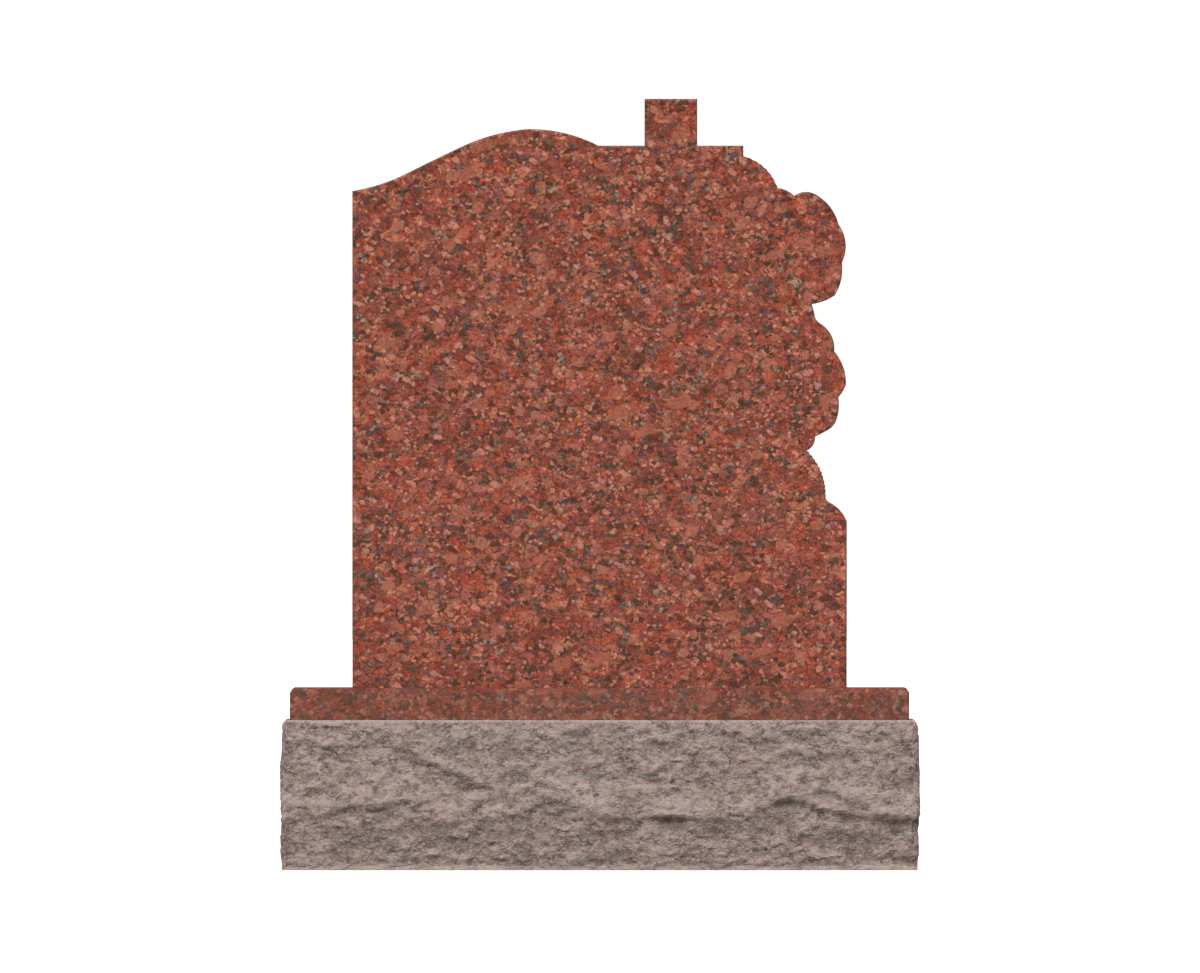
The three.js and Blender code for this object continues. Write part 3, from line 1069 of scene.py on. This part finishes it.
@dataclass(frozen=True)
class Ledge:
    """A ledge of a long face, in millimetres, by how it runs: across, up and how deep it steps."""

    crest: tuple[tuple[float, float, float], ...]
    swell: float = 26.0
    drop: float = 13.0
    refill: float = 34.0
    brow_up: float = 27.0
    brow_reach: float = 16.0

    def over(self, across: np.ndarray, up: np.ndarray) -> np.ndarray:
        """Say how far above the crest each place is."""
        places = np.array(self.crest, float)
        return up - np.interp(across, places[:, 0], places[:, 1])

    def out(self, across: np.ndarray, up: np.ndarray) -> np.ndarray:
        """Say how far the ledge stands out.

        It stands out most at its crest, swells slowly from above as exp(-above / swell), falls
        back quickly below within the drop, and the hollow fills out as exp(-below / refill).

        Args:
            across: Each place across the face, in millimetres.
            up: Each place's height, in millimetres.

        Returns:
            How far the ledge brings each place out, in millimetres.
        """
        places, above = np.array(self.crest, float), self.over(across, up)
        step = np.interp(across, places[:, 0], places[:, 2], left=0.0, right=0.0)
        swell = np.exp(-np.maximum(above, 0.0) / self.swell)
        fall = eased(-above, 0.0, self.drop)
        hollow = np.exp(-np.maximum(-above - self.drop, 0.0) / self.refill)
        return step * np.where(above > 0.0, swell, 1.0 - fall - fall * hollow) / 2.0

    def brow(self, across: np.ndarray, up: np.ndarray) -> np.ndarray:
        """Say how near each place is to the ledge's brow: exp(-(distance / reach) squared)."""
        return np.exp(-(((self.over(across, up) - self.brow_up) / self.brow_reach) ** 2))


MAIN_LEDGE = Ledge(
    (
        (-457, 76, 2), (-393, 84, 5), (-354, 99, 4), (-321, 95, 5), (-273, 105, 4), (-247, 77, 4),
        (-216, 70, 6), (-177, 79, 4), (-130, 80, 5), (-101, 98, 3), (-43, 105, 4), (9, 79, 5),
        (62, 80, 5), (100, 82, 9), (134, 81, 6), (206, 78, 3), (244, 99, 4), (272, 110, 8),
        (321, 94, 6), (378, 82, 4), (426, 82, 9), (457, 80, 8),
    )
)  # fmt: skip
UPPER_LEDGES = (
    Ledge(
        (
            (-446, 178, 2), (-422, 197, 5), (-397, 184, 3), (-306, 190, 3), (-258, 168, 6),
            (-210, 144, 6), (-158, 124, 3), (-120, 118, 0),
        )
    ),
    Ledge(
        (
            (172, 198, 0), (215, 197, 3), (248, 180, 4), (277, 174, 3), (301, 181, 2),
            (330, 190, 0),
        )
    ),
)  # fmt: skip


@dataclass
class RockFacedBase:
    """The base block: split faces all round, a sawn top and a sawn underside. Millimetres."""

    width: float = 914.4
    depth: float = 304.8
    height: float = 215.4
    top_inset: float = 4.5
    top_rounding: float = 11.0
    corner_radius: float = 9.0
    swellings: tuple[Swelling, ...] = (Swelling(122, 86, 2.4, 3.1), Swelling(33, 25, 2, 0.5))
    breaks: tuple[Break, ...] = (
        Break(-366, 84, 52, 14, 2.5),
        Break(-228, 62, 44, 16, 2.5),
        Break(-258, 152, 22, 22, 2.5),
        Break(100, 66, 38, 16, 5),
        Break(264, 92, 26, 15, 3.5),
        Break(424, 62, 50, 22, 5),
    )
    lumps: tuple[Lumps, ...] = (Lumps(15, 78, 3), Lumps(33, 37, 2.2), Lumps(67, 19, 1.6))
    end_face_relief: float = 0.45
    relief_margin: float = 16.0
    coarse_step: float = 15.0
    finer: int = 6
    rows: int = 84
    row_crowding: float = 0.1
    crease: float = 38.0
    steps: tuple[Lumps, ...] = (Lumps(34, 43, 1.45), Lumps(84, 18, 0.5), Lumps(170, 9, 0.4))
    step_draws: int = 9
    chips: tuple[Facets, ...] = (Facets(84, 19, 0.8, 1.7), Facets(220, 8, 0.6, 1.2))
    chip_draws: int = 7
    chip_bend: Lumps = Lumps(90, 14, 9.0)
    chip_margin: float = 7.0
    grit: tuple[Lumps, ...] = (Lumps(130, 12, 1.5), Lumps(290, 6, 1.2), Lumps(520, 3.6, 0.9))
    end_face_chips: float = 0.35
    hollow_reach: float = 12.0
    hollow_depth: float = 3.0
    hollow_range: tuple[float, float] = (-0.5, 1.2)
    # The rims along the bottom and the top are painted pale: bruising and painted highlight.
    rims: tuple[float, float] = (16.0, 6.5)
    # Painted highlight on the brow above the main ledge, where the face turns up to the light.
    brow_highlight: float = 0.45
    # Painted shade: how much deeper the hollows count low on the block, and the heights over which
    # that fades.
    bottom_shade: float = 0.36
    bottom_shade_height: tuple[float, float] = (48.0, 84.0)

    def pitched_line(self) -> tuple[np.ndarray, np.ndarray]:
        """Walk around the block's pitched line.

        The line is four straight sides and four quarter circles, walked counter-clockwise from
        the front right corner in even steps on each side.

        Returns:
            The points, and the way that each faces.
        """
        half = np.array([self.width, self.depth]) / 2.0 - self.corner_radius
        signs = np.array([(1, -1), (1, 1), (-1, 1), (-1, -1)], float)
        points, facings = [], []
        for index, start in enumerate(np.radians([-90.0, 0.0, 90.0, 180.0])):
            turn = start + np.linspace(0.0, math.pi / 2.0, 3 * self.finer + 1)
            facing = np.stack([np.cos(turn), np.sin(turn)], axis=1)
            corner = half * signs[index] + self.corner_radius * facing
            after = half * signs[(index + 1) % 4] + self.corner_radius * facing[-1]
            steps = round(math.dist(corner[-1], after) / self.coarse_step) * self.finer
            along = np.linspace(0.0, 1.0, steps, endpoint=False)[1:, None]
            points += [corner, corner[-1] * (1.0 - along) + after * along]
            facings += [facing, np.repeat(facing[-1:], len(along), axis=0)]
        return np.concatenate(points), np.concatenate(facings)

    def rock_face(
        self, around: np.ndarray, across: np.ndarray, up: np.ndarray, long_face: np.ndarray
    ) -> np.ndarray:
        """Say how far the split face stands out of the pitched line.

        Swellings, lumps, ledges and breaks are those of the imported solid. A swelling and a break
        are bells and bowls, depth times (1 - distance squared) squared. Finer fractures are laid
        over them. Near the top the face is drawn in, by the square of how near it comes.

        Args:
            around: How far around the block each place is, from 0 to 1.
            across: The place across the long faces, in millimetres.
            up: Its height, in millimetres.
            long_face: One on the front and back, and zero on the ends.

        Returns:
            How far each place stands out, in millimetres.
        """
        swell = np.zeros_like(up)
        for bulge in self.swellings:
            away = np.minimum(np.abs(up - bulge.up) / bulge.half_height, 1.0)
            out = bulge.on_ends + (bulge.on_long_faces - bulge.on_ends) * long_face
            swell += out * (1.0 - away * away) ** 2
        relief = octaves(around, up, self.lumps, Draw.LUMPS)
        relief = relief * (self.end_face_relief + (1.0 - self.end_face_relief) * long_face)
        for ledge in (MAIN_LEDGE, *UPPER_LEDGES):
            relief = relief + long_face * ledge.out(across, up)
        for place in self.breaks:
            away = ((across - place.across) / place.half_width) ** 2
            away = away + ((up - place.up) / place.half_height) ** 2
            relief = relief - long_face * place.depth * (1.0 - np.minimum(away, 1.0)) ** 2
        edge = np.minimum(up, self.height - up)
        chipped = self.end_face_chips + (1.0 - self.end_face_chips) * long_face
        drawn_in = np.clip(1.0 - (self.height - up) / self.top_rounding, 0.0, 1.0)
        return (
            swell
            + relief * eased(edge, 0.0, self.relief_margin)
            + self.fractures(around, up) * eased(edge, 0.0, self.chip_margin) * chipped
            - self.top_inset * drawn_in**2
        )

    def fractures(self, around: np.ndarray, up: np.ndarray) -> np.ndarray:
        """Say how the finer fractures stand out: chips, laid along a wavy line, grit and steps.

        Args:
            around: How far around the block each place is, from 0 to 1.
            up: Its height, in millimetres.

        Returns:
            How far they bring each place out, in millimetres.
        """
        bend = octaves(around, up, (self.chip_bend,), Draw.CHIP_BEND)
        bent = around + bend / (2.0 * (self.width + self.depth)), up + bend / 2.0
        fine = np.zeros_like(up)
        for more, item in enumerate(self.chips):
            fine += broken(*bent, item, Draw.CHIPS + self.chip_draws * more)
        fine += octaves(around, up, self.grit, Draw.GRIT)
        for more, item in enumerate(self.steps):
            fine += stepped(around, up, item, Draw.STEPS + self.step_draws * more)
        return fine

    def mesh(self) -> bpy.types.Mesh:
        """Build the block: rows of points up the split faces, closed by the sawn top and underside.

        Returns:
            The mesh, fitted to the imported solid's box.
        """
        line, facing = self.pitched_line()
        even = np.linspace(0.0, 1.0, self.rows + 1)
        level = self.height * (even - self.row_crowding * np.sin(2.0 * math.pi * even) / math.pi)
        count = len(line)
        up, around = np.meshgrid(level, np.arange(count) / count, indexing="ij")
        across = np.broadcast_to(line[:, 0] * -np.sign(facing[:, 1]), up.shape)
        long_face = np.broadcast_to(np.abs(facing[:, 1]), up.shape)
        out = self.rock_face(around, across, up, long_face)
        hollow = self.hollows(out, level)
        # Painted highlight: the brow above the main ledge is marked pale.
        hollow = hollow - long_face * self.brow_highlight * MAIN_LEDGE.brow(across, up)
        points = np.concatenate([line[None] + out[..., None] * facing[None], up[..., None]], axis=2)
        points = points.reshape(-1, 3) * MM
        low, high = (np.array(corner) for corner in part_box("rock_faced_base"))
        span = np.ptp(points, axis=0)
        points = low + (points - points.min(axis=0)) * (high - low) / span
        here = np.arange(count)
        after = np.roll(here, -1)
        rows = np.arange(self.rows)[:, None] * count
        above = rows + count
        sides = np.stack([rows + here, rows + after, above + after, above + here], axis=2)
        top = (self.rows * count + here).tolist()
        faces = [*sides.reshape(-1, 4).tolist(), here[::-1].tolist(), top]
        mesh = bpy.data.meshes.new("split_base_block")
        mesh.from_pydata(points.tolist(), [], faces)
        mesh.shade_smooth()
        mesh.set_sharp_from_angle(angle=math.radians(self.crease))
        sawn = np.zeros(len(faces))
        sawn[-2:] = 1.0
        write_attribute(mesh, SECOND_FINISH, sawn, "FACE")
        write_attribute(mesh, HOLLOW, hollow.ravel(), "POINT")
        return mesh

    def hollows(self, out: np.ndarray, level: np.ndarray) -> np.ndarray:
        """Say where the face is hollow, for painted shade and pale edges: 1 deep in, -1 at the
        rims.

        A place is hollow by how far it lies behind the mean of the face around it, which is
        blurred by the bell curve exp(-distance squared / 2 reach squared) along both ways. The
        lowest part counts as hollower, so that it takes more painted shade.

        Args:
            out: How far each place stands out, in millimetres, row by row.
            level: The height of each row, in millimetres.

        Returns:
            The hollows, row by row.
        """
        away = level[:, None] - level[None]
        upright = np.exp(-(away**2) / (2.0 * self.hollow_reach**2))
        mean = (upright / upright.sum(axis=1, keepdims=True)) @ out
        count = out.shape[1]
        step = 2.0 * (self.width + self.depth) / count
        places = np.minimum(np.arange(count), count - np.arange(count)) * step
        around = np.exp(-(places**2) / (2.0 * self.hollow_reach**2))
        spectrum = np.fft.rfft(around / around.sum())
        mean = np.fft.irfft(np.fft.rfft(mean, axis=1) * spectrum, n=count, axis=1)
        lower, upper = self.rims
        inward = np.minimum(level / lower, (self.height - level) / upper)
        # Painted highlight with bruising along the rims.
        bruise_and_highlight = 1.0 - eased(inward, 0.0, 1.0)[:, None]
        # Painted shade, darker towards the bottom of the block.
        painted_bottom_shade = self.bottom_shade * (1.0 - eased(level, *self.bottom_shade_height))[:, None]
        hollow = np.clip((mean - out) / self.hollow_depth + painted_bottom_shade, *self.hollow_range)
        return hollow * (1.0 - bruise_and_highlight) - bruise_and_highlight

    def build(self) -> bpy.types.Object:
        """Build the block and dress it.

        Returns:
            The finished piece.
        """
        mesh = self.mesh()
        granite = WorkedGranite("split_red_granite", Worked.SPLIT, Worked.SAWN).material()
        return finished_piece(mesh, "split_base_block", "rock_faced_base", granite)


@dataclass(frozen=True)
class Lamp:
    """A far, soft light: its strength, and its softness and place in degrees.

    Around is 0 in front of the stone and 90 on its right, and up is the height over the floor.
    """

    name: str
    strength: float
    softness: float
    around: float
    up: float
    away: float = 3.0

    def build(self) -> bpy.types.Object:
        """Hang the lamp and turn it to the stone.

        Returns:
            The lamp.
        """
        lamp = bpy.data.lights.new(self.name, "SUN")
        lamp.energy = self.strength
        lamp.angle = math.radians(self.softness)
        made = bpy.data.objects.new(self.name, lamp)
        around, up = math.radians(self.around), math.radians(self.up)
        back = Vector((math.sin(around), -math.cos(around), math.tan(up))).normalized()
        made.rotation_euler = back.to_track_quat("Z", "Y").to_euler()
        made.location = back * self.away
        bpy.context.scene.collection.objects.link(made)
        return made


@dataclass
class Studio:
    """A plain pale floor, soft light and a camera far in front. Metres."""

    camera_at: tuple[float, float, float] = (0.0006, -40.076, 0.5503)
    shown_width: float = 1.7228
    stands_off: float = 40.0
    floor_reach: float = 60.0
    lamps: tuple[Lamp, ...] = (
        Lamp("key", 2.88, 34.0, -8.0, 40.0),
        Lamp("right_fill", 1.1, 40.0, 125.0, 25.0),
        Lamp("left_fill", 1.1, 40.0, -125.0, 25.0),
    )
    surround: float = 0.22
    backdrop: float = 1.1
    floor_grey: float = 0.4
    floor_glow: float = 0.8

    def camera(self) -> bpy.types.Object:
        """Set up the camera, level and square on, far enough away that the view is almost flat.

        Returns:
            The camera.
        """
        lens = bpy.data.cameras.new("camera")
        lens.sensor_width = 36.0
        lens.lens = lens.sensor_width * self.stands_off / self.shown_width
        lens.clip_start, lens.clip_end = 1.0, 200.0
        camera = bpy.data.objects.new("camera", lens)
        camera.location = self.camera_at
        camera.rotation_euler = (math.pi / 2.0, 0.0, 0.0)
        bpy.context.scene.collection.objects.link(camera)
        bpy.context.scene.camera = camera
        return camera

    def floor(self) -> bpy.types.Object:
        """Lay the floor, a plane at the underside of the base.

        Returns:
            The floor.
        """
        r = self.floor_reach
        mesh = bpy.data.meshes.new("floor")
        mesh.from_pydata([(-r, -r, 0), (r, -r, 0), (r, r, 0), (-r, r, 0)], [], [(0, 1, 2, 3)])
        matt = bpy.data.materials.new("pale_floor")
        matt.use_nodes = True
        matt.node_tree.nodes.clear()
        wire = Wiring(matt.node_tree)
        seen = wire.node("LightPath").outputs["Is Camera Ray"]
        dull = wire.node("BsdfDiffuse")
        dull.inputs["Color"].default_value = (*[self.floor_grey] * 3, 1.0)
        white = wire.node("BsdfDiffuse")
        glow = wire.node("Emission", {"Strength": self.floor_glow})
        pale = wire.node("AddShader", {0: white.outputs[0], 1: glow.outputs[0]})
        both = wire.node("MixShader", {0: seen, 1: dull.outputs[0], 2: pale.outputs[0]})
        wire.node("OutputMaterial", {"Surface": both.outputs[0]})
        mesh.materials.append(matt)
        floor = bpy.data.objects.new("floor", mesh)
        bpy.context.scene.collection.objects.link(floor)
        return floor

    def light(self) -> None:
        """Light the stone from above in front and faintly from behind, before a white backdrop."""
        for lamp in self.lamps:
            lamp.build()
        world = bpy.data.worlds.new("studio")
        world.use_nodes = True
        world.node_tree.nodes.clear()
        wire = Wiring(world.node_tree)
        seen = wire.node("LightPath").outputs["Is Camera Ray"]
        dim = wire.node("Background", {"Strength": self.surround})
        white = wire.node("Background", {"Strength": self.backdrop})
        for item in (dim, white):
            item.inputs["Color"].default_value = WHITE
        both = wire.node("MixShader", {0: seen, 1: dim.outputs[0], 2: white.outputs[0]})
        wire.node("OutputWorld", {"Surface": both.outputs[0]})
        bpy.context.scene.world = world
        bpy.context.scene.view_settings.view_transform = "Standard"

    def build(self) -> None:
        """Set up the camera, the floor and the light."""
        self.camera()
        self.floor()
        self.light()


@dataclass
class Headstone:
    """The whole headstone, from the ground up."""

    base: RockFacedBase = field(default_factory=RockFacedBase)
    plinth: PlinthSlab = field(default_factory=PlinthSlab)
    tablet: Tablet = field(default_factory=Tablet)

    def build(self) -> list[bpy.types.Object]:
        """Build the pieces in order and report each.

        Returns:
            The pieces, lowest first.
        """
        pieces = [part.build() for part in (self.base, self.plinth, self.tablet)]
        for piece in pieces:
            LOG.info("%s: %d faces", piece.name, len(piece.data.polygons))
        return pieces


def main() -> None:
    """Build the headstone in its studio."""
    Studio().build()
    Headstone().build()


if __name__ == "__main__":
    logging.basicConfig(level=logging.INFO, format="%(message)s")
    main()
